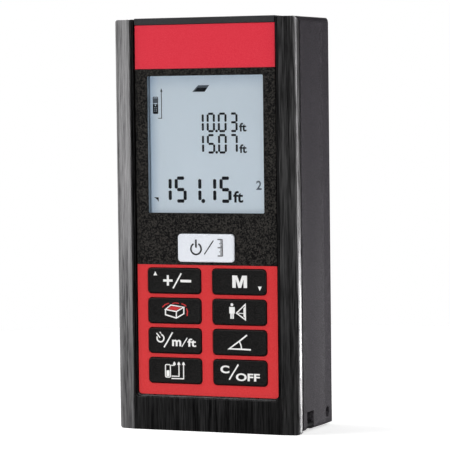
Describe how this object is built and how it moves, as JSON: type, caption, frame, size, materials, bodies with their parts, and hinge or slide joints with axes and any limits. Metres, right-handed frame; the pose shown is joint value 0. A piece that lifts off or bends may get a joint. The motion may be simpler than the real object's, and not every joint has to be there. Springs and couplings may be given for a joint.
{
  "type": "laser distance meter",
  "caption": "Upright pocket laser distance meter with brushed metal front frame, grey display, white measure key, red keypad with black keys and fold-out end piece.",
  "frame": {"origin": "middle of the width and depth on the lowest plane, under the upright meter", "axes": "+Z towards the beam end, -Y out of the display and keypad, +X to the reader's right"},
  "size_m": [0.057, 0.028, 0.118],
  "materials": {
    "brushed_black_metal": "black anodised, brushed upwards",
    "black_textured_plastic": "fine sandy texture",
    "red_header_foil": "satin",
    "red_keypad_foil": "satin",
    "clear_acrylic": "clear, glossy",
    "black_foam": "matt",
    "lcd_grey": "grey-blue display",
    "white_plastic": "moulded",
    "silicone_grey": "matt",
    "spring_steel": "plated",
    "white_key_plastic": "semi-gloss",
    "black_key_plastic": "satin with white print",
    "green_laminate": "solder mask",
    "chip_plastic": "moulded",
    "screw_steel": "plated",
    "dark_screw_steel": "blackened",
    "cast_alloy": "die cast",
    "lens_glass": "coated, glossy",
    "brass": "turned",
    "ribbon_film": "amber film",
    "dark_cap_plastic": "dark grey",
    "soft_coated_plastic": "soft-touch coating",
    "cell_jacket": "printed jacket, no lettering",
    "dark_hard_plastic": "glass-filled",
    "label_film": "blank film"
  },
  "bodies": {
    "meter": {"front_frame": "brushed_black_metal", "face_plate": "black_textured_plastic", "header_inlay": "red_header_foil", "keypad_inlay": "red_keypad_foil", "display_window": "clear_acrylic", "display_gasket": "black_foam", "lcd_cell": "lcd_grey", "lcd_light_guide": "white_plastic", "lcd_holder": "white_plastic", "lcd_connectors": "silicone_grey", "keypad_mat": "silicone_grey", "snap_domes": "spring_steel", "main_board": "green_laminate", "board_chips": "chip_plastic", "buzzer": "chip_plastic", "tilt_sensor": "spring_steel", "board_screws": "screw_steel", "optics_block": "cast_alloy", "receiver_lens": "lens_glass", "laser_barrel": "brass", "laser_diode": "brass", "collimator_lens": "lens_glass", "detector_board": "green_laminate", "detector_ribbon": "ribbon_film", "optics_screws": "screw_steel", "end_cap": "dark_cap_plastic", "rear_housing": "soft_coated_plastic", "housing_seal": "black_foam", "battery_left": "cell_jacket", "battery_right": "cell_jacket", "battery_springs": "spring_steel", "battery_contacts": "spring_steel", "end_piece_pin": "screw_steel", "lanyard_bar": "screw_steel", "tripod_insert": "brass", "case_screws": "dark_screw_steel", "rating_label": "label_film"},
    "measure_key": {"measure_key": "white_key_plastic"},
    "plus_minus_key": {"plus_minus_key": "black_key_plastic"},
    "memory_key": {"memory_key": "black_key_plastic"},
    "area_volume_key": {"area_volume_key": "black_key_plastic"},
    "pythagoras_key": {"pythagoras_key": "black_key_plastic"},
    "timer_units_key": {"timer_units_key": "black_key_plastic"},
    "angle_key": {"angle_key": "black_key_plastic"},
    "reference_key": {"reference_key": "black_key_plastic"},
    "clear_off_key": {"clear_off_key": "black_key_plastic"},
    "battery_door": {"battery_door": "soft_coated_plastic"},
    "end_piece": {"end_piece": "dark_hard_plastic", "end_piece_magnet": "spring_steel"}
  },
  "joints": [
    {"name": "measure_press", "type": "slide", "parent": "meter", "child": "measure_key", "axis": [0, 1, 0], "range_m": [0, 0.0006], "stiffness_N_per_m": 1500},
    {"name": "plus_minus_press", "type": "slide", "parent": "meter", "child": "plus_minus_key", "axis": [0, 1, 0], "range_m": [0, 0.0006], "stiffness_N_per_m": 1500},
    {"name": "memory_press", "type": "slide", "parent": "meter", "child": "memory_key", "axis": [0, 1, 0], "range_m": [0, 0.0006], "stiffness_N_per_m": 1500},
    {"name": "area_volume_press", "type": "slide", "parent": "meter", "child": "area_volume_key", "axis": [0, 1, 0], "range_m": [0, 0.0006], "stiffness_N_per_m": 1500},
    {"name": "pythagoras_press", "type": "slide", "parent": "meter", "child": "pythagoras_key", "axis": [0, 1, 0], "range_m": [0, 0.0006], "stiffness_N_per_m": 1500},
    {"name": "timer_units_press", "type": "slide", "parent": "meter", "child": "timer_units_key", "axis": [0, 1, 0], "range_m": [0, 0.0006], "stiffness_N_per_m": 1500},
    {"name": "angle_press", "type": "slide", "parent": "meter", "child": "angle_key", "axis": [0, 1, 0], "range_m": [0, 0.0006], "stiffness_N_per_m": 1500},
    {"name": "reference_press", "type": "slide", "parent": "meter", "child": "reference_key", "axis": [0, 1, 0], "range_m": [0, 0.0006], "stiffness_N_per_m": 1500},
    {"name": "clear_off_press", "type": "slide", "parent": "meter", "child": "clear_off_key", "axis": [0, 1, 0], "range_m": [0, 0.0006], "stiffness_N_per_m": 1500},
    {"name": "battery_door_hinge", "type": "hinge", "parent": "meter", "child": "battery_door", "pos_m": [0, 0.013, 0.023], "axis": [-1, 0, 0], "range_deg": [0, 75]},
    {"name": "end_piece_hinge", "type": "hinge", "parent": "meter", "child": "end_piece", "pos_m": [0, 0.0075, 0.0044], "axis": [-1, 0, 0], "range_deg": [0, 180]}
  ]
}
